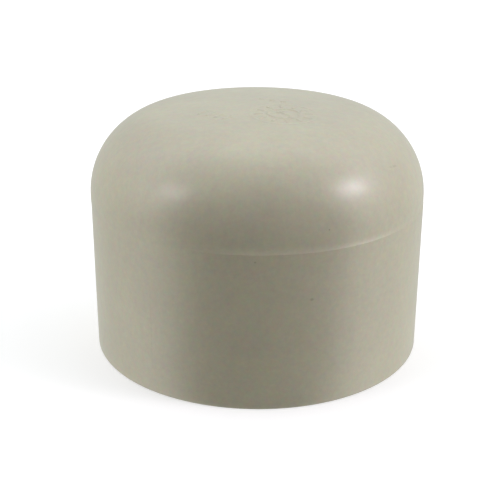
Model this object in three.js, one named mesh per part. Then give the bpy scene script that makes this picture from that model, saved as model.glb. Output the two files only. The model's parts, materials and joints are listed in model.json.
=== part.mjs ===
// Slip pipe cap, nominal 1-1/2 in: a one-piece injection moulding that closes the end of a plastic pipe.
// Millimetres, +Z up. The origin is at the centre of the open mouth, on the plane of the rim.
import * as THREE from 'three';

// Outside of the cap
const HEIGHT = 42.0;
const SKIRT_RADIUS = 28.5;
const SHOULDER_RADIUS = 13.8;
const CROWN_RADIUS = 157.0;

// The moulding's parting line: the skirt is formed by a sleeve and the dome by an insert a little smaller.
const PARTING_HEIGHT = 26.2;
const PARTING_STEP = 0.1;

// Tapered socket for a pipe of 48.3 mm outside diameter
const MOUTH_RADIUS = 24.28;
const SOCKET_END_RADIUS = 24.06;
const SOCKET_DEPTH = 28.0;
const ENTRY_CHAMFER = 0.8;

// Inside of the dome, above the ledge that stops the pipe
const BORE_RADIUS = 21.8;
const INNER_SHOULDER_RADIUS = 7.5;
const CROWN_WALL = 5.0;

// Edge round at the outside of the rim
const RIM_ROUND = 0.5;

// Facets
const TURN_SEGMENTS = 72;
const SHOULDER_STEPS = 14;
const INNER_SHOULDER_STEPS = 8;
const CROWN_STEPS = 4;
const RIM_STEPS = 3;

const PLASTIC = { color: 0xb5b19d, roughness: 0.3, metalness: 0.0 };

// Points of an arc about (centreX, centreY), from one angle to another in radians, both ends included.
function arc(centreX, centreY, radius, from, to, steps) {
  return Array.from({ length: steps + 1 }, (_, i) => {
    const angle = from + ((to - from) * i) / steps;
    return new THREE.Vector2(centreX + radius * Math.cos(angle), centreY + radius * Math.sin(angle));
  });
}

// A crown arc centred on the axis that meets a shoulder arc without a corner. Returned from the side of
// the dome up to the axis; wallRadius is where the shoulder arc is upright.
function dome(wallRadius, shoulderRadius, crownRadius, topHeight, shoulderSteps) {
  const shoulderX = wallRadius - shoulderRadius;
  const crownY = topHeight - crownRadius;
  const shoulderY = crownY + Math.sqrt((crownRadius - shoulderRadius) ** 2 - shoulderX ** 2);
  const meeting = Math.atan2(shoulderY - crownY, shoulderX);
  const shoulder = arc(shoulderX, shoulderY, shoulderRadius, 0, meeting, shoulderSteps);
  const crown = arc(0, crownY, crownRadius, meeting, Math.PI / 2, CROWN_STEPS);
  crown[CROWN_STEPS].x = 0;
  return [...shoulder, ...crown.slice(1)];
}

// Rim, from the edge of the socket's entry chamfer to the foot of the skirt.
function rim() {
  const entry = new THREE.Vector2(MOUTH_RADIUS + ENTRY_CHAMFER, 0);
  const centreX = SKIRT_RADIUS - RIM_ROUND;
  return [entry, ...arc(centreX, RIM_ROUND, RIM_ROUND, -Math.PI / 2, 0, RIM_STEPS)];
}

function outside() {
  const domeFoot = SKIRT_RADIUS - PARTING_STEP;
  return [
    ...rim(),
    new THREE.Vector2(SKIRT_RADIUS, PARTING_HEIGHT),
    new THREE.Vector2(domeFoot, PARTING_HEIGHT + PARTING_STEP),
    ...dome(domeFoot, SHOULDER_RADIUS, CROWN_RADIUS, HEIGHT, SHOULDER_STEPS),
  ];
}

// From the axis under the dome, down over the ledge and the socket wall to the entry chamfer.
function inside() {
  const innerCrown = CROWN_RADIUS - CROWN_WALL;
  const innerTop = HEIGHT - CROWN_WALL;
  const underDome = dome(BORE_RADIUS, INNER_SHOULDER_RADIUS, innerCrown, innerTop, INNER_SHOULDER_STEPS);
  return [
    ...underDome.reverse(),
    new THREE.Vector2(BORE_RADIUS, SOCKET_DEPTH),
    new THREE.Vector2(SOCKET_END_RADIUS, SOCKET_DEPTH),
    new THREE.Vector2(MOUTH_RADIUS, ENTRY_CHAMFER),
  ];
}

function capBody() {
  const profile = [...inside(), ...outside()];
  const geometry = new THREE.LatheGeometry(profile, TURN_SEGMENTS);
  geometry.rotateX(Math.PI / 2);
  const mesh = new THREE.Mesh(geometry, new THREE.MeshStandardMaterial(PLASTIC));
  mesh.name = 'cap_body';
  return mesh;
}

const pipeCap = new THREE.Group();
pipeCap.add(capBody());

export default pipeCap;
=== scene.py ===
"""Looks of the slip pipe cap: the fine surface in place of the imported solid, its plastic and the studio."""

import json
import math

import bpy
import numpy as np
from mathutils import Matrix, Vector


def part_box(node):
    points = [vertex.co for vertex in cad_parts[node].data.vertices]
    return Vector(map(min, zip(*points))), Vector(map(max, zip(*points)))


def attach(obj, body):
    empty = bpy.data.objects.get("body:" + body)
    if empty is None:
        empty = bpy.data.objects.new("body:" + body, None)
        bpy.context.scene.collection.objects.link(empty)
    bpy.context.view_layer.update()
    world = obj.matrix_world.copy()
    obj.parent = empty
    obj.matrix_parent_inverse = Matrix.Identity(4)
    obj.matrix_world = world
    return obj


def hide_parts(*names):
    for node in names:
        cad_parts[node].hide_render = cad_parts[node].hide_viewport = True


MM = 0.001

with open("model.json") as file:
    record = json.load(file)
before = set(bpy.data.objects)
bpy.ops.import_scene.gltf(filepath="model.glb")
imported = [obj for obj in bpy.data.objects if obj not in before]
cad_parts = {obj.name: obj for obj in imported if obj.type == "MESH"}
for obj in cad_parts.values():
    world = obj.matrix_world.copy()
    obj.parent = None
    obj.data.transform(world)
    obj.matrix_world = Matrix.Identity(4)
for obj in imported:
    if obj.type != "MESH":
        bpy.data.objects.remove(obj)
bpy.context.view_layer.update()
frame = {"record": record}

# ---------------------------------------------------------------- sizes taken from the frame
BODY_LOW, BODY_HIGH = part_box("cap_body")
OUTER_RADIUS = (BODY_HIGH.x - BODY_LOW.x) / 2
HEIGHT = BODY_HIGH.z
MOUNTS = {m["name"]: m for m in frame["record"]["mounts"]}
STOP_HEIGHT = MOUNTS["pipe_stop"]["pos_m"][2]

# ---------------------------------------------------------------- outside of the moulding
SHOULDER_RADIUS = 13.8 * MM
CROWN_RADIUS = 157.0 * MM
CROWN_DROP = 0.13 * MM
DOME_INSET = 0.08 * MM
RIM_ROUND = 0.35 * MM

# The skirt is formed by a sleeve and the dome by an insert. They were a little off centre to each other,
# so the skirt stands proud of the dome on one side and is flush with it, or under it, on the other.
PARTING_HEIGHT = 26.2 * MM
SLEEVE_INSET = 0.09 * MM
SLEEVE_SHIFT = 0.085 * MM
SLEEVE_SHIFT_TURN = -52.0
SLEEVE_WOBBLE = 0.006 * MM
SLEEVE_WAVES, SLEEVE_SEED = (3, 7, 16, 29), 5
PARTING_BEVEL = 0.06 * MM
PARTING_SUPPORT = 0.04 * MM

# The gate was cut off at the back, just under the parting line, and left a small flat.
GATE_TURN = 112.0
GATE_LOW, GATE_HIGH = 22.4 * MM, 25.2 * MM
GATE_DEPTH = 0.20 * MM
GATE_SLOPE = 0.3 * MM

# ---------------------------------------------------------------- inside of the moulding
MOUTH_RADIUS = 24.28 * MM
SOCKET_END_RADIUS = 24.06 * MM
ENTRY_CHAMFER = 0.8 * MM
EDGE_ROUND = 0.12 * MM
BORE_RADIUS = 21.8 * MM
INNER_SHOULDER_RADIUS = 7.5 * MM
CROWN_WALL = 5.0 * MM
CORE_VALVE_RADIUS = 7.0 * MM
CORE_VALVE_STEP = 0.08 * MM

# ---------------------------------------------------------------- raised marks on the crown, all generic
MARK_HEIGHT = 0.14 * MM
MARK_SLOPE = 0.18 * MM
DIAL_CENTRE = (4.3 * MM, -5.6 * MM)
DIAL_EDGE = 5.5 * MM
DIAL_TICKS = 12
DIAL_TICK_SPAN = (3.6 * MM, 4.6 * MM)
DIAL_RING = 2.6 * MM
DIAL_ARROW = 1.5 * MM
DIAL_TURN = 35.0
TALLY_START, TALLY_END = (-9.0 * MM, -4.6 * MM), (-4.9 * MM, -7.9 * MM)
TALLY_BARS = 4
TALLY_LENGTH = 1.7 * MM
DOTS_START, DOTS_END = (0.6 * MM, 4.1 * MM), (4.3 * MM, 2.2 * MM)
DOTS = 3
MARKS_REACH = 13.0 * MM

# Half widths of the marks' flat tops. The dial's edge stands at a share of the height of the others.
DIAL_EDGE_WIDTH, DIAL_EDGE_SHARE = 0.06 * MM, 0.3
DIAL_RING_WIDTH = 0.10 * MM
DIAL_LINE_WIDTH = 0.13 * MM
DIAL_BARB_WIDTH, DIAL_BARB_SHARE = 0.11 * MM, 0.45
TALLY_WIDTH = 0.17 * MM
DOT_RADIUS = 0.32 * MM

# How finely the mesh follows the shape.
TURN_SEGMENTS = 360
MARK_RINGS = 110
SHOULDER_STEPS, INNER_SHOULDER_STEPS = 48, 18
CROWN_REACH = 16 * MM


# ---------------------------------------------------------------- outlines, as (radius, height) points
def arc(centre, radius, angles):
    """Points (radius, height) of an arc at the given angles in degrees."""
    return [(centre[0] + radius * math.cos(a), centre[1] + radius * math.sin(a)) for a in np.radians(angles)]


def line(start, end, steps):
    """Points of a straight stretch, both ends included."""
    parts = np.linspace(0, 1, steps + 1)
    return [(start[0] + (end[0] - start[0]) * t, start[1] + (end[1] - start[1]) * t) for t in parts]


def dome(wall_radius, shoulder_radius, crown_radius, top, shoulder_steps, crown_radii):
    """A shoulder arc that runs without a corner into a crown arc on the axis, from the side to the top.
    The crown has a point at each of the radii that lies inside the shoulder."""
    shoulder_x = wall_radius - shoulder_radius
    crown_z = top - crown_radius
    reach = crown_radius - shoulder_radius
    shoulder_z = crown_z + math.sqrt(reach**2 - shoulder_x**2)
    meeting = math.degrees(math.atan2(shoulder_z - crown_z, shoulder_x))
    first = math.degrees(PARTING_SUPPORT / shoulder_radius)
    angles = [0, first, 3 * first, *np.linspace(0, meeting, shoulder_steps + 1)[1:]]
    edge = crown_radius * math.cos(math.radians(meeting))
    crown = [(r, crown_z + math.sqrt(crown_radius**2 - r**2)) for r in crown_radii if r < edge]
    return [*arc((shoulder_x, shoulder_z), shoulder_radius, angles), *crown]


def inside_outline():
    """From the axis under the dome, down over the pipe stop and the socket wall, to the rim's inner edge."""
    valve = CORE_VALVE_RADIUS + np.array([0.3, 0.1, 0.0, -0.1, -0.3]) * MM
    radii = [*np.linspace(14, 8, 6) * MM, *valve, *np.linspace(6, 0, 7) * MM]
    inner_crown = CROWN_RADIUS - CROWN_WALL
    top = HEIGHT - CROWN_WALL
    under = dome(BORE_RADIUS, INNER_SHOULDER_RADIUS, inner_crown, top, INNER_SHOULDER_STEPS, radii)
    under = [(r, z - CORE_VALVE_STEP if r < CORE_VALVE_RADIUS else z) for r, z in under]
    stop_edge = (BORE_RADIUS + EDGE_ROUND, STOP_HEIGHT + EDGE_ROUND)
    stop_corner = (SOCKET_END_RADIUS - EDGE_ROUND, STOP_HEIGHT - EDGE_ROUND)
    return [
        *reversed(under),
        *arc(stop_edge, EDGE_ROUND, [180, 210, 240, 270]),
        *line((stop_edge[0], STOP_HEIGHT), (stop_corner[0], STOP_HEIGHT), 3)[1:-1],
        *arc(stop_corner, EDGE_ROUND, [90, 60, 30, 0]),
        *line((SOCKET_END_RADIUS, stop_corner[1]), (MOUTH_RADIUS, ENTRY_CHAMFER), 14)[1:],
        *line((MOUTH_RADIUS, ENTRY_CHAMFER), (MOUTH_RADIUS + ENTRY_CHAMFER, 0.0), 2)[1:],
    ]


def skirt_outline():
    """From the rim's inner edge out round its foot and up to the parting line."""
    foot = (OUTER_RADIUS - RIM_ROUND, RIM_ROUND)
    inner_edge = (MOUTH_RADIUS + ENTRY_CHAMFER, 0.0)
    top = PARTING_HEIGHT - PARTING_BEVEL
    upright = [*line((0, RIM_ROUND), (0, GATE_LOW - GATE_SLOPE), 12)[1:]]
    upright += [*line((0, GATE_LOW), (0, GATE_HIGH), 6), (0, GATE_HIGH + GATE_SLOPE)]
    upright += [(0, top - 3 * PARTING_SUPPORT), (0, top - PARTING_SUPPORT), (0, top)]
    return [
        *line(inner_edge, (foot[0], 0.0), 5)[1:-1],
        *arc(foot, RIM_ROUND, np.linspace(270, 360, 7)),
        *[(OUTER_RADIUS, z) for _, z in upright],
    ]


def dome_outline():
    """From the parting line over the shoulder to the top of the crown, with close rings under the marks."""
    outer = np.linspace(CROWN_REACH, MARKS_REACH, 12, endpoint=False)
    radii = [*outer, *np.linspace(MARKS_REACH, 0, MARK_RINGS + 1)]
    top = HEIGHT - CROWN_DROP
    return dome(OUTER_RADIUS - DOME_INSET, SHOULDER_RADIUS, CROWN_RADIUS, top, SHOULDER_STEPS, radii)


# ---------------------------------------------------------------- what isn't round
def wobble(turn, waves, seed):
    """A smooth, random, closed curve round the cap, from about -1 to 1."""
    draw = np.random.default_rng(seed)
    phases = draw.uniform(0, 2 * math.pi, len(waves))
    return sum(np.sin(n * turn + p) for n, p in zip(waves, phases)) / len(waves)


def sleeve_radius(turn):
    """Outer radius of the skirt, as seen from the dome's axis, at angles in radians."""
    shift = SLEEVE_SHIFT * np.cos(turn - math.radians(SLEEVE_SHIFT_TURN))
    uneven = SLEEVE_WOBBLE * wobble(turn, SLEEVE_WAVES, SLEEVE_SEED)
    return OUTER_RADIUS - SLEEVE_INSET + shift + uneven


def cut_gate(turn, radius, height):
    """The skirt's radius with the gate's flat cut into it."""
    off_centre = np.cos(turn - math.radians(GATE_TURN))
    flat = (OUTER_RADIUS - GATE_DEPTH) / np.maximum(off_centre, 0.5)
    middle, half = (GATE_LOW + GATE_HIGH) / 2, (GATE_HIGH - GATE_LOW) / 2
    share = raised(np.abs(height - middle), half, GATE_SLOPE)
    return radius - share * np.maximum(radius - flat, 0)


def raised(distance, half_width, slope):
    """1 within half_width of a mark's centre line, falling smoothly to 0 over the slope."""
    share = np.clip((half_width + slope - distance) / slope, 0, 1)
    return share * share * (3 - 2 * share)


def bar(x, y, start, end, half_width):
    """A raised bar with round ends between two points."""
    along = np.array(end) - np.array(start)
    share = np.clip(((x - start[0]) * along[0] + (y - start[1]) * along[1]) / (along @ along), 0, 1)
    distance = np.hypot(x - start[0] - share * along[0], y - start[1] - share * along[1])
    return raised(distance, half_width, MARK_SLOPE)


def dial(x, y):
    """A mould-date dial without figures: ticks round a small ring, with an arrow across it."""
    turn = math.radians(DIAL_TURN)
    right = (x - DIAL_CENTRE[0]) * math.cos(turn) + (y - DIAL_CENTRE[1]) * math.sin(turn)
    up = (y - DIAL_CENTRE[1]) * math.cos(turn) - (x - DIAL_CENTRE[0]) * math.sin(turn)
    out = np.hypot(right, up)
    marks = [DIAL_EDGE_SHARE * raised(np.abs(out - DIAL_EDGE), DIAL_EDGE_WIDTH, MARK_SLOPE)]
    marks.append(raised(np.abs(out - DIAL_RING), DIAL_RING_WIDTH, MARK_SLOPE))
    for tick in range(DIAL_TICKS):
        angle = 2 * math.pi * tick / DIAL_TICKS
        inner, outer = [(r * math.cos(angle), r * math.sin(angle)) for r in DIAL_TICK_SPAN]
        marks.append(bar(right, up, inner, outer, DIAL_LINE_WIDTH))
    tip = (0.0, DIAL_ARROW)
    marks.append(bar(right, up, (0.0, -DIAL_ARROW), tip, DIAL_LINE_WIDTH))
    for side in (-1, 1):
        barb = (side * DIAL_BARB_SHARE * DIAL_ARROW, DIAL_BARB_SHARE * DIAL_ARROW)
        marks.append(bar(right, up, tip, barb, DIAL_BARB_WIDTH))
    return np.maximum.reduce(marks)


def between(start, end, count):
    """Evenly spaced places from one point to another, both included."""
    return [np.array(start) + (np.array(end) - np.array(start)) * i / (count - 1) for i in range(count)]


def crown_marks(x, y):
    """Height of the raised marks at places on the crown: the dial, a row of tally bars and a row of dots."""
    row = np.array(TALLY_END) - np.array(TALLY_START)
    across = np.array((-row[1], row[0])) / np.hypot(*row) * TALLY_LENGTH / 2
    marks = [dial(x, y)]
    for place in between(TALLY_START, TALLY_END, TALLY_BARS):
        marks.append(bar(x, y, place - across, place + across, TALLY_WIDTH))
    for place in between(DOTS_START, DOTS_END, DOTS):
        marks.append(raised(np.hypot(x - place[0], y - place[1]), DOT_RADIUS, MARK_SLOPE))
    return MARK_HEIGHT * np.maximum.reduce(marks)


# ---------------------------------------------------------------- the mesh
def cap_rings():
    """Vertices of the cap, one row per ring, from the axis under the dome round the rim to the top."""
    turn = np.arange(TURN_SEGMENTS) * 2 * math.pi / TURN_SEGMENTS
    sleeve = sleeve_radius(turn)
    even = np.ones_like(turn)
    rows = [(r * even, z * even) for r, z in inside_outline()]
    rim_edge = MOUTH_RADIUS + ENTRY_CHAMFER
    for r, z in skirt_outline():
        share = (r - rim_edge) / (OUTER_RADIUS - rim_edge)
        rows.append((cut_gate(turn, r + share * (sleeve - OUTER_RADIUS), z), z * even))
    middle = (sleeve + OUTER_RADIUS - DOME_INSET) / 2
    rows.append((middle, (PARTING_HEIGHT - PARTING_BEVEL / 2) * even))
    for r, z in dome_outline():
        lift = crown_marks(r * np.cos(turn), r * np.sin(turn)) if r < MARKS_REACH else 0.0
        rows.append((r * even, z * even + lift))
    return np.array([(r * np.cos(turn), r * np.sin(turn), z) for r, z in rows]).transpose(0, 2, 1)


def ring_mesh(name, rings, first_pole, last_pole=None):
    """A smooth mesh of rings of vertices, closed by a vertex on the axis before the first ring and, if it is
    given, by one after the last."""
    count = len(rings[0])
    here = np.arange(count)
    after = (here + 1) % count
    faces = []
    for ring in range(len(rings) - 1):
        low, high = ring * count, (ring + 1) * count
        faces += np.stack([low + here, low + after, high + after, high + here], axis=-1).tolist()
    last = (len(rings) - 1) * count
    poles = [first_pole]
    faces += [(last + count, int(b), int(a)) for a, b in zip(here, after)]
    if last_pole is not None:
        poles.append(last_pole)
        faces += [(last + count + 1, last + int(a), last + int(b)) for a, b in zip(here, after)]
    mesh = bpy.data.meshes.new(name)
    mesh.from_pydata(np.concatenate([rings.reshape(-1, 3), poles]).tolist(), [], faces)
    mesh.validate()
    mesh.shade_smooth()
    return mesh


# ---------------------------------------------------------------- the plastic
PLASTIC_COLOUR = (0.465, 0.44, 0.335)
PLASTIC_ROUGHNESS = 0.31
ROUGHNESS_SPREAD = 0.022
# The dark that specks, the scuff, the painted rim-foot shade and the painted reflection edge are mixed
# towards.
DARK_MARK_AND_SHADE_COLOUR = (0.17, 0.16, 0.11)
# Painted shade: how dark the foot of the rim is made where it meets the floor.
RIM_FOOT_SHADE = 0.45

# Sizes and heights in the material are in millimetres, and its depths of relief are in metres.
CLOUD_SIZE, CLOUD_RANGE = 9.0, (0.3, 0.7)
LIGHT_CLOUD, DEEP_CLOUD = (1.025, 1.03, 1.02), (0.975, 0.97, 0.98)

# The mottle: the size of its lumps, how crisp they are and how far they carry each colour, as a share of it.
MOTTLE_SIZE = 1.0
MOTTLE_CRISPNESS = 0.85
MOTTLE = 0.42

# Worn plastic is pale: in patches on the rim, below the heights, and on the gate's cut.
PALE_TINT = (1.25, 1.25, 1.32)
PALE_HEIGHTS, RIM_PATCH_SIZE, RIM_PALE = (0.15, 0.9), 0.8, 0.45
CUT_PATCH_SIZE, CUT_PALE = 0.5, 0.9

# Specks of burnt resin: one cell in a few holds one, and its radius is a share of the cell.
SPECK_CELL, SPECK_CHOICE, SPECK_RADII, SPECK_STRENGTH = 4.2, (1.3, 1.4), (0.01, 0.04), 0.7

# How dark the placed marks and the painted reflection edge up the skirt are, what breaks the scuff into
# patches, and where the painted shade along the rim's foot fades out.
DARK_SPECK_STRENGTH, REFLECTION_EDGE_STRENGTH = 0.38, 0.07
SCUFF_PATCH_SIZE, SCUFF_PATCHES, SCUFF_STRENGTH = 0.5, (0.4, 0.6), 0.26
RIM_FOOT_SHADE_HEIGHTS = (0.08, 0.32)

# Hairline scratches: the direction across each set with its spacing, how far noise bends them, their half
# widths, and the range of noise that they lie in.
HAIRLINE_SETS = ((0.5, 0.3, 0.8), 3.1), ((-0.7, 0.2, 0.55), 4.3), ((0.25, -0.9, 0.3), 5.2)
HAIRLINE_BEND, HAIRLINE_BEND_SIZE = 2.5, 14.0
HAIRLINE_WIDTHS, HAIRLINE_PATCHES, HAIRLINE_DEPTH = (0.02, 0.07), (0.60, 0.66), 0.004 * MM

# Orange peel, grain, and the streaks that are draw lines on the skirt and polishing rings on the dome. Draw
# lines change this share as fast up the skirt as round it, and end in a short fade at the parting line.
PEEL_SIZE, PEEL_DEPTH = 2.6, 0.030 * MM
GRAIN_SIZE, GRAIN_DEPTH = 0.6, 0.005 * MM
STREAK_SIZE, STREAK_DEPTH = 0.9, 0.004 * MM
DRAW_CHANGE = 0.012
SKIRT_FADE = 0.1

# What the gloss follows: clouds, and how much the rim, the gate's cut, and the dark marks with the painted
# shade lines add to the roughness.
GLOSS_CLOUD_SIZE, GLOSS_CLOUDS = 3.4, (0.25, 0.75)
DULL_RIM_HEIGHTS, DULL_RIM, DULL_CUT, DULL_MARKS_AND_SHADE = (0.1, 0.8), 0.12, 0.16, 0.2

# Marks of handling, and a painted dark line up the skirt where the edge of a dark reflection falls, as a
# centre and half sizes in millimetres, and a turn about the cap's axis in degrees.
DARK_SPECKS = [((8.4, -27.2, 18.5), (0.40, 0.5, 0.32), 0), ((-0.2, -28.5, 25.0), (0.24, 0.5, 0.2), 0)]
SCUFF = ((21.4, -14.2, 35.7), (0.22, 2.0, 0.5), -42)
# Painted reflection: a faint dark line up the front left of the skirt, at the edge of a dark reflection.
SKIRT_REFLECTION_EDGE = ((-16.55, -23.2, 11.5), (0.13, 0.8, 11.0), 0)

# A spot is solid out to this share of its half sizes.
SPOT_CORE = 0.35

# The cut across the gate is a little paler and duller than the skin round it.
GATE_PLACE = tuple(v / MM for v in (
    OUTER_RADIUS * math.cos(math.radians(GATE_TURN)),
    OUTER_RADIUS * math.sin(math.radians(GATE_TURN)),
    (GATE_LOW + GATE_HIGH) / 2,
))
GATE_SCAR = (GATE_PLACE, (1.0, 3.4, 2.1), GATE_TURN)


class Tree:
    """Short calls that add nodes to one material and join them up."""

    def __init__(self, material):
        self.nodes = material.node_tree.nodes
        self.links = material.node_tree.links

    def put(self, socket, value):
        if isinstance(value, bpy.types.NodeSocket):
            self.links.new(value, socket)
        else:
            socket.default_value = value

    def math(self, operation, first, second=0.0):
        node = self.nodes.new("ShaderNodeMath")
        node.operation = operation
        self.put(node.inputs[0], first)
        self.put(node.inputs[1], second)
        return node.outputs[0]

    def vector(self, operation, first, second=None, third=None):
        node = self.nodes.new("ShaderNodeVectorMath")
        node.operation = operation
        self.put(node.inputs[0], first)
        if second is not None:
            self.put(node.inputs["Scale" if operation == "SCALE" else 1], second)
        if third is not None:
            self.put(node.inputs[2], third)
        return node.outputs["Value" if operation == "LENGTH" else "Vector"]

    def ramp(self, value, low, high, low_result=0.0, high_result=1.0):
        """The value carried smoothly from low..high to the two results."""
        node = self.nodes.new("ShaderNodeMapRange")
        node.interpolation_type = "SMOOTHSTEP"
        settings = ("Value", value), ("From Min", low), ("From Max", high)
        for name, setting in (*settings, ("To Min", low_result), ("To Max", high_result)):
            self.put(node.inputs[name], setting)
        return node.outputs["Result"]

    def noise(self, where, size, detail=2.0, output="Fac", roughness=0.5):
        """Cloudy noise round 0.5, with lumps of about the size, in the unit of where."""
        node = self.nodes.new("ShaderNodeTexNoise")
        self.put(node.inputs["Vector"], where)
        node.inputs["Scale"].default_value = 1 / size
        node.inputs["Detail"].default_value = detail
        node.inputs["Roughness"].default_value = roughness
        return node.outputs[output]

    def mix(self, share, first, second):
        node = self.nodes.new("ShaderNodeMix")
        node.data_type = "RGBA"
        for socket, value in ((node.inputs[0], share), (node.inputs[6], first), (node.inputs[7], second)):
            self.put(socket, value)
        return node.outputs[2]

    def bump(self, height, depth, below=None):
        """Surface relief of a depth in metres, on top of the relief below."""
        node = self.nodes.new("ShaderNodeBump")
        node.inputs["Distance"].default_value = depth
        self.put(node.inputs["Height"], height)
        if below is not None:
            self.put(node.inputs["Normal"], below)
        return node.outputs["Normal"]

    def spot(self, where, centre, half_sizes, turn=0.0):
        """1 in the core of an ellipsoid, falling smoothly to 0 at its surface."""
        node = self.nodes.new("ShaderNodeMapping")
        node.vector_type = "TEXTURE"
        self.put(node.inputs["Vector"], where)
        node.inputs["Location"].default_value = centre
        node.inputs["Rotation"].default_value = (0, 0, math.radians(turn))
        node.inputs["Scale"].default_value = half_sizes
        return self.ramp(self.vector("LENGTH", node.outputs[0]), SPOT_CORE, 1.0, 1.0, 0.0)


def tinted(colour, tint):
    return (colour[0] * tint[0], colour[1] * tint[1], colour[2] * tint[2], 1)


def plastic_colour(tree, where, height, dirt_and_shade):
    """Putty-grey plastic: soft clouds of resin, a fine mottle of many tints, specks, painted shade at the
    rim's foot and a painted reflection edge up the skirt, and a pale worn rim.
    """
    clouds = tree.ramp(tree.noise(where, CLOUD_SIZE, 3.0), *CLOUD_RANGE)
    light, deep = tinted(PLASTIC_COLOUR, LIGHT_CLOUD), tinted(PLASTIC_COLOUR, DEEP_CLOUD)
    mottle = tree.noise(where, MOTTLE_SIZE, 3.0, "Color", MOTTLE_CRISPNESS)
    shade = tree.vector("MULTIPLY_ADD", mottle, (MOTTLE,) * 3, (1 - MOTTLE / 2,) * 3)
    body = tree.vector("MULTIPLY", tree.mix(clouds, deep, light), shade)
    near_rim = tree.ramp(height, *PALE_HEIGHTS, 1.0, 0.0)
    rim = tree.math("MULTIPLY", near_rim, tree.noise(where, RIM_PATCH_SIZE, 3.0))
    cut = tree.math("MULTIPLY", tree.spot(where, *GATE_SCAR), tree.noise(where, CUT_PATCH_SIZE, 3.0))
    pale = tree.math("ADD", tree.math("MULTIPLY", rim, RIM_PALE), tree.math("MULTIPLY", cut, CUT_PALE))
    body = tree.mix(pale, body, tinted(PLASTIC_COLOUR, PALE_TINT))
    # Darkened by the marks, by the painted shade along the rim's foot and by the painted reflection edge up
    # the skirt.
    return tree.mix(dirt_and_shade, body, (*DARK_MARK_AND_SHADE_COLOUR, 1))


def scattered_specks(tree, where):
    """A few tiny dark specks of burnt resin, spread at random."""
    node = tree.nodes.new("ShaderNodeTexVoronoi")
    tree.put(node.inputs["Vector"], where)
    node.inputs["Scale"].default_value = 1 / SPECK_CELL
    few = tree.ramp(tree.vector("LENGTH", node.outputs["Color"]), *SPECK_CHOICE)
    near = tree.ramp(node.outputs["Distance"], *SPECK_RADII, SPECK_STRENGTH, 0.0)
    return tree.math("MULTIPLY", few, near)


def dark_marks_and_painted_shade(tree, where, height):
    """How dark the surface is: specks, the shoulder's scuff, a painted dark line up the skirt where a dark
    reflection's edge falls, and painted shade along the foot of the rim.
    """
    marks = [scattered_specks(tree, where)]
    marks += [tree.math("MULTIPLY", tree.spot(where, *speck), DARK_SPECK_STRENGTH) for speck in DARK_SPECKS]
    patches = tree.noise(where, SCUFF_PATCH_SIZE, 3.0)
    scuff = tree.math("MULTIPLY", tree.spot(where, *SCUFF), tree.ramp(patches, *SCUFF_PATCHES))
    marks.append(tree.math("MULTIPLY", scuff, SCUFF_STRENGTH))
    # Painted reflection: the faint dark line up the skirt.
    marks.append(tree.math("MULTIPLY", tree.spot(where, *SKIRT_REFLECTION_EDGE), REFLECTION_EDGE_STRENGTH))
    # Painted shade: the foot of the rim darkened where it meets the floor.
    marks.append(tree.ramp(height, *RIM_FOOT_SHADE_HEIGHTS, RIM_FOOT_SHADE, 0.0))
    total = marks[0]
    for mark in marks[1:]:
        total = tree.math("MAXIMUM", total, mark)
    return total


def hairlines(tree, where):
    """Short straight scratches from handling, sunk to 0, in a few directions."""
    depths = []
    for direction, spacing in HAIRLINE_SETS:
        bend = tree.noise(where, HAIRLINE_BEND_SIZE, 1.0, "Color")
        turned = tree.vector("MULTIPLY_ADD", bend, (HAIRLINE_BEND,) * 3, where)
        node = tree.nodes.new("ShaderNodeVectorMath")
        node.operation = "DOT_PRODUCT"
        tree.put(node.inputs[0], turned)
        node.inputs[1].default_value = direction
        off_line = tree.math("PINGPONG", node.outputs["Value"], spacing)
        here = tree.ramp(tree.noise(where, spacing + 1.0, 1.0), *HAIRLINE_PATCHES)
        depths.append(tree.math("MULTIPLY", tree.ramp(off_line, *HAIRLINE_WIDTHS, 1.0, 0.0), here))
    deepest = tree.math("MAXIMUM", tree.math("MAXIMUM", depths[0], depths[1]), depths[2])
    return tree.math("SUBTRACT", 1.0, deepest)


def plastic_relief(tree, where, height):
    """Orange peel, grain, draw lines up the skirt, polishing rings round the dome and hairline scratches."""
    parting = PARTING_HEIGHT / MM
    on_skirt = tree.ramp(height, parting - SKIRT_FADE, parting, 1.0, 0.0)
    on_dome = tree.math("SUBTRACT", 1.0, on_skirt)
    upright = tree.vector("MULTIPLY", where, (1.0, 1.0, DRAW_CHANGE))
    draw = tree.math("MULTIPLY", tree.noise(upright, STREAK_SIZE, 1.0), on_skirt)
    rings = tree.nodes.new("ShaderNodeCombineXYZ")
    tree.put(rings.inputs[0], tree.vector("LENGTH", tree.vector("MULTIPLY", where, (1.0, 1.0, 0.0))))
    tree.put(rings.inputs[1], height)
    polish = tree.math("MULTIPLY", tree.noise(rings.outputs[0], STREAK_SIZE, 1.0), on_dome)
    relief = tree.bump(tree.noise(where, PEEL_SIZE, 1.0), PEEL_DEPTH)
    relief = tree.bump(tree.noise(where, GRAIN_SIZE, 1.0), GRAIN_DEPTH, relief)
    relief = tree.bump(draw, STREAK_DEPTH, relief)
    relief = tree.bump(polish, STREAK_DEPTH, relief)
    return tree.bump(hairlines(tree, where), HAIRLINE_DEPTH, relief)


def plastic_gloss(tree, where, dirt_and_shade, height):
    """Satin, with duller clouds, a duller rim and gate, and dull specks and scuffs."""
    smooth, dull = PLASTIC_ROUGHNESS - ROUGHNESS_SPREAD, PLASTIC_ROUGHNESS + ROUGHNESS_SPREAD
    clouds = tree.ramp(tree.noise(where, GLOSS_CLOUD_SIZE, 3.0), *GLOSS_CLOUDS, smooth, dull)
    rim = tree.ramp(height, *DULL_RIM_HEIGHTS, DULL_RIM, 0.0)
    cut = tree.math("MULTIPLY", tree.spot(where, *GATE_SCAR), DULL_CUT)
    worn = tree.math("ADD", tree.math("MAXIMUM", rim, cut), tree.math("MULTIPLY", dirt_and_shade, DULL_MARKS_AND_SHADE))
    return tree.math("ADD", clouds, worn)


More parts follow.
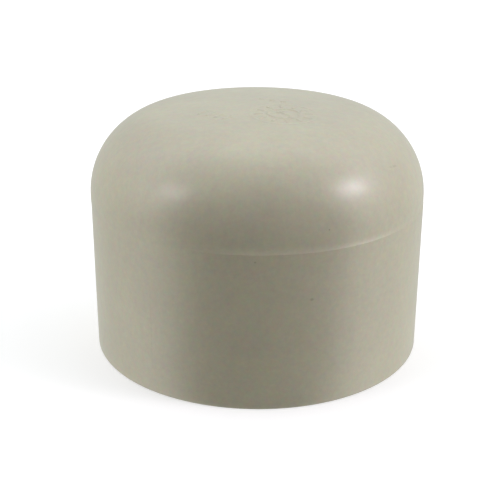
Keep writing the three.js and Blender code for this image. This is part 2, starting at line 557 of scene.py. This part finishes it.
def plastic():
    material = bpy.data.materials.new("moulded_plastic")
    material.use_nodes = True
    tree = Tree(material)
    shader = tree.nodes["Principled BSDF"]
    place = tree.nodes.new("ShaderNodeTexCoord").outputs["Object"]
    where = tree.vector("SCALE", place, 1 / MM)
    split = tree.nodes.new("ShaderNodeSeparateXYZ")
    tree.put(split.inputs[0], where)
    height = split.outputs["Z"]
    # Dark marks together with painted shade at the rim's foot and a painted reflection edge up the skirt.
    dirt_and_shade = dark_marks_and_painted_shade(tree, where, height)
    tree.put(shader.inputs["Base Color"], plastic_colour(tree, where, height, dirt_and_shade))
    tree.put(shader.inputs["Roughness"], plastic_gloss(tree, where, dirt_and_shade, height))
    tree.put(shader.inputs["Normal"], plastic_relief(tree, where, height))
    return material


def make_cap():
    rings = cap_rings()
    mesh = ring_mesh("cap_moulding", rings[1:-1], rings[0][0], rings[-1][0])
    cap = bpy.data.objects.new("cap_moulding", mesh)
    bpy.context.scene.collection.objects.link(cap)
    cap.data.materials.append(plastic())
    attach(cap, "root")
    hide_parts("cap_body")


# ---------------------------------------------------------------- studio
CAMERA_DISTANCE = 6.339 * OUTER_RADIUS
CAMERA_ELEVATION = math.radians(20.55)
CAMERA_ORBIT_HEIGHT = 0.7 * OUTER_RADIUS
CAMERA_AIM = Vector((-0.0411 * OUTER_RADIUS, 0, 0.547 * OUTER_RADIUS))
CAMERA_ROLL = math.radians(0.22)
CAMERA_LENS = 74.2

FLOOR_RADIUS, SWEEP_RADIUS, WALL_HEIGHT = 0.8, 1.2, 3.0
FLOOR_INNER_RING = 0.1
FLOOR_SEGMENTS = 96
FLOOR_TONE = 0.66
FLOOR_GLOW = 0.41


def add_camera():
    data = bpy.data.cameras.new("camera")
    data.sensor_width = 36
    data.lens = CAMERA_LENS
    data.clip_start, data.clip_end = 0.01, 50
    camera = bpy.data.objects.new("camera", data)
    bpy.context.scene.collection.objects.link(camera)
    back = math.cos(CAMERA_ELEVATION) * CAMERA_DISTANCE
    rise = math.sin(CAMERA_ELEVATION) * CAMERA_DISTANCE
    place = Vector((0, -back, CAMERA_ORBIT_HEIGHT + rise))
    ahead = (CAMERA_AIM - place).normalized()
    level = ahead.cross(Vector((0, 0, 1))).normalized()
    upright = level.cross(ahead)
    right = math.cos(CAMERA_ROLL) * level + math.sin(CAMERA_ROLL) * upright
    up = right.cross(ahead)
    camera.matrix_world = Matrix((right, up, -ahead)).transposed().to_4x4()
    camera.location = place
    bpy.context.scene.camera = camera


def pale_floor():
    material = bpy.data.materials.new("pale_floor")
    material.use_nodes = True
    shader = material.node_tree.nodes["Principled BSDF"]
    shader.inputs["Base Color"].default_value = (FLOOR_TONE, FLOOR_TONE, FLOOR_TONE, 1)
    shader.inputs["Roughness"].default_value = 1.0
    shader.inputs["Specular IOR Level"].default_value = 0.0
    shader.inputs["Emission Color"].default_value = (1, 1, 1, 1)
    shader.inputs["Emission Strength"].default_value = FLOOR_GLOW
    return material


def add_stage():
    """A pale round floor that sweeps up into a wall. Only the camera sees it, so it lights nothing."""
    turn = np.arange(FLOOR_SEGMENTS) * 2 * math.pi / FLOOR_SEGMENTS
    sweep = arc((FLOOR_RADIUS, SWEEP_RADIUS), SWEEP_RADIUS, np.linspace(270, 360, 13))
    outline = [(FLOOR_INNER_RING, 0.0), *sweep, (FLOOR_RADIUS + SWEEP_RADIUS, WALL_HEIGHT)]
    rings = [(r * np.cos(turn), r * np.sin(turn), np.full_like(turn, z)) for r, z in outline]
    mesh = ring_mesh("floor", np.array(rings).transpose(0, 2, 1), (0.0, 0.0, 0.0))
    mesh.flip_normals()
    floor = bpy.data.objects.new("floor", mesh)
    bpy.context.scene.collection.objects.link(floor)
    floor.data.materials.append(pale_floor())
    floor.visible_diffuse = False
    floor.visible_glossy = False
    floor.visible_shadow = False


def sky_axis(azimuth, elevation):
    """Unit vector towards a place round the cap, in degrees. Azimuth 0 is the camera's side, 90 is +X."""
    a, e = math.radians(azimuth), math.radians(elevation)
    return Vector((math.sin(a) * math.cos(e), -math.cos(a) * math.cos(e), math.sin(e)))


# The tent is white cloth lit from outside: an even cool light, a brighter ceiling, and on each side a warm
# wall, its bounce off the table and a rear corner, the same left and right. Two lamps shine through it.
COOL, PLAIN, WARM = (0.93, 1.0, 1.0), (1.0, 0.93, 1.03), (1.0, 0.94, 0.86)
SOFT, LAMP = 14, 130
CLOTH, CEILING, WALL, TABLE, REAR = 0.62, 1.1, 2.3, 1.8, 1.3
CEILING_RISE, WALL_RISE, TABLE_RISE, REAR_RISE = 70, 15, -40, 45
WALL_TURN, REAR_TURN = 75, 110
RIGHT_LAMP, LEFT_LAMP = 20, 8
RIGHT_LAMP_TURN, LEFT_LAMP_TURN, LAMP_RISE = 78, -65, 32


def tent_pools():
    """The pools of light on the tent: azimuth, elevation, sharpness, tint and strength. The sharpness is the
    power of the cosine from the pool's centre that the light falls off by, and 0 is even light all round."""
    pools = [(0, 0, 0, COOL, CLOTH), (180, CEILING_RISE, SOFT, COOL, CEILING)]
    for side in (1, -1):
        pools.append((side * WALL_TURN, WALL_RISE, SOFT, WARM, WALL))
        pools.append((side * WALL_TURN, TABLE_RISE, SOFT, WARM, TABLE))
        pools.append((side * REAR_TURN, REAR_RISE, SOFT, PLAIN, REAR))
    pools.append((RIGHT_LAMP_TURN, LAMP_RISE, LAMP, PLAIN, RIGHT_LAMP))
    pools.append((LEFT_LAMP_TURN, LAMP_RISE, LAMP, PLAIN, LEFT_LAMP))
    return pools


# The tent is open towards the camera: dark within the first angle from -Y, and full light past the second.
OPENING_DARK = 44
OPENING_EDGE = 68


def set_world(pools):
    world = bpy.data.worlds.new("studio_tent")
    world.use_nodes = True
    nodes, links = world.node_tree.nodes, world.node_tree.links
    direction = nodes.new("ShaderNodeTexCoord").outputs["Generated"]

    def math_node(operation, first, second):
        node = nodes.new("ShaderNodeMath")
        node.operation = operation
        links.new(first, node.inputs[0])
        node.inputs[1].default_value = second
        return node.outputs[0]

    def vector_node(operation, first):
        node = nodes.new("ShaderNodeVectorMath")
        node.operation = operation
        links.new(first, node.inputs[0])
        return node

    def towards(axis):
        node = vector_node("DOT_PRODUCT", direction)
        node.inputs[1].default_value = axis
        return math_node("MAXIMUM", node.outputs["Value"], 0.0)

    total = None
    for azimuth, elevation, sharpness, tint, strength in pools:
        share = math_node("POWER", towards(sky_axis(azimuth, elevation)), sharpness)
        pool = nodes.new("ShaderNodeVectorMath")
        pool.operation = "SCALE"
        pool.inputs[0].default_value = [strength * part for part in tint]
        links.new(share, pool.inputs["Scale"])
        if total is None:
            total = pool.outputs[0]
        else:
            both = vector_node("ADD", total)
            links.new(pool.outputs[0], both.inputs[1])
            total = both.outputs[0]

    opening = nodes.new("ShaderNodeMapRange")
    opening.interpolation_type = "SMOOTHSTEP"
    opening.inputs["From Min"].default_value = math.cos(math.radians(OPENING_EDGE))
    opening.inputs["From Max"].default_value = math.cos(math.radians(OPENING_DARK))
    opening.inputs["To Min"].default_value = 1.0
    opening.inputs["To Max"].default_value = 0.0
    links.new(towards(sky_axis(0, 0)), opening.inputs["Value"])
    lit = vector_node("SCALE", total)
    links.new(opening.outputs["Result"], lit.inputs["Scale"])
    links.new(lit.outputs[0], nodes["Background"].inputs["Color"])
    bpy.context.scene.world = world


make_cap()
add_camera()
add_stage()
set_world(tent_pools())
bpy.context.scene.view_settings.view_transform = "Standard"
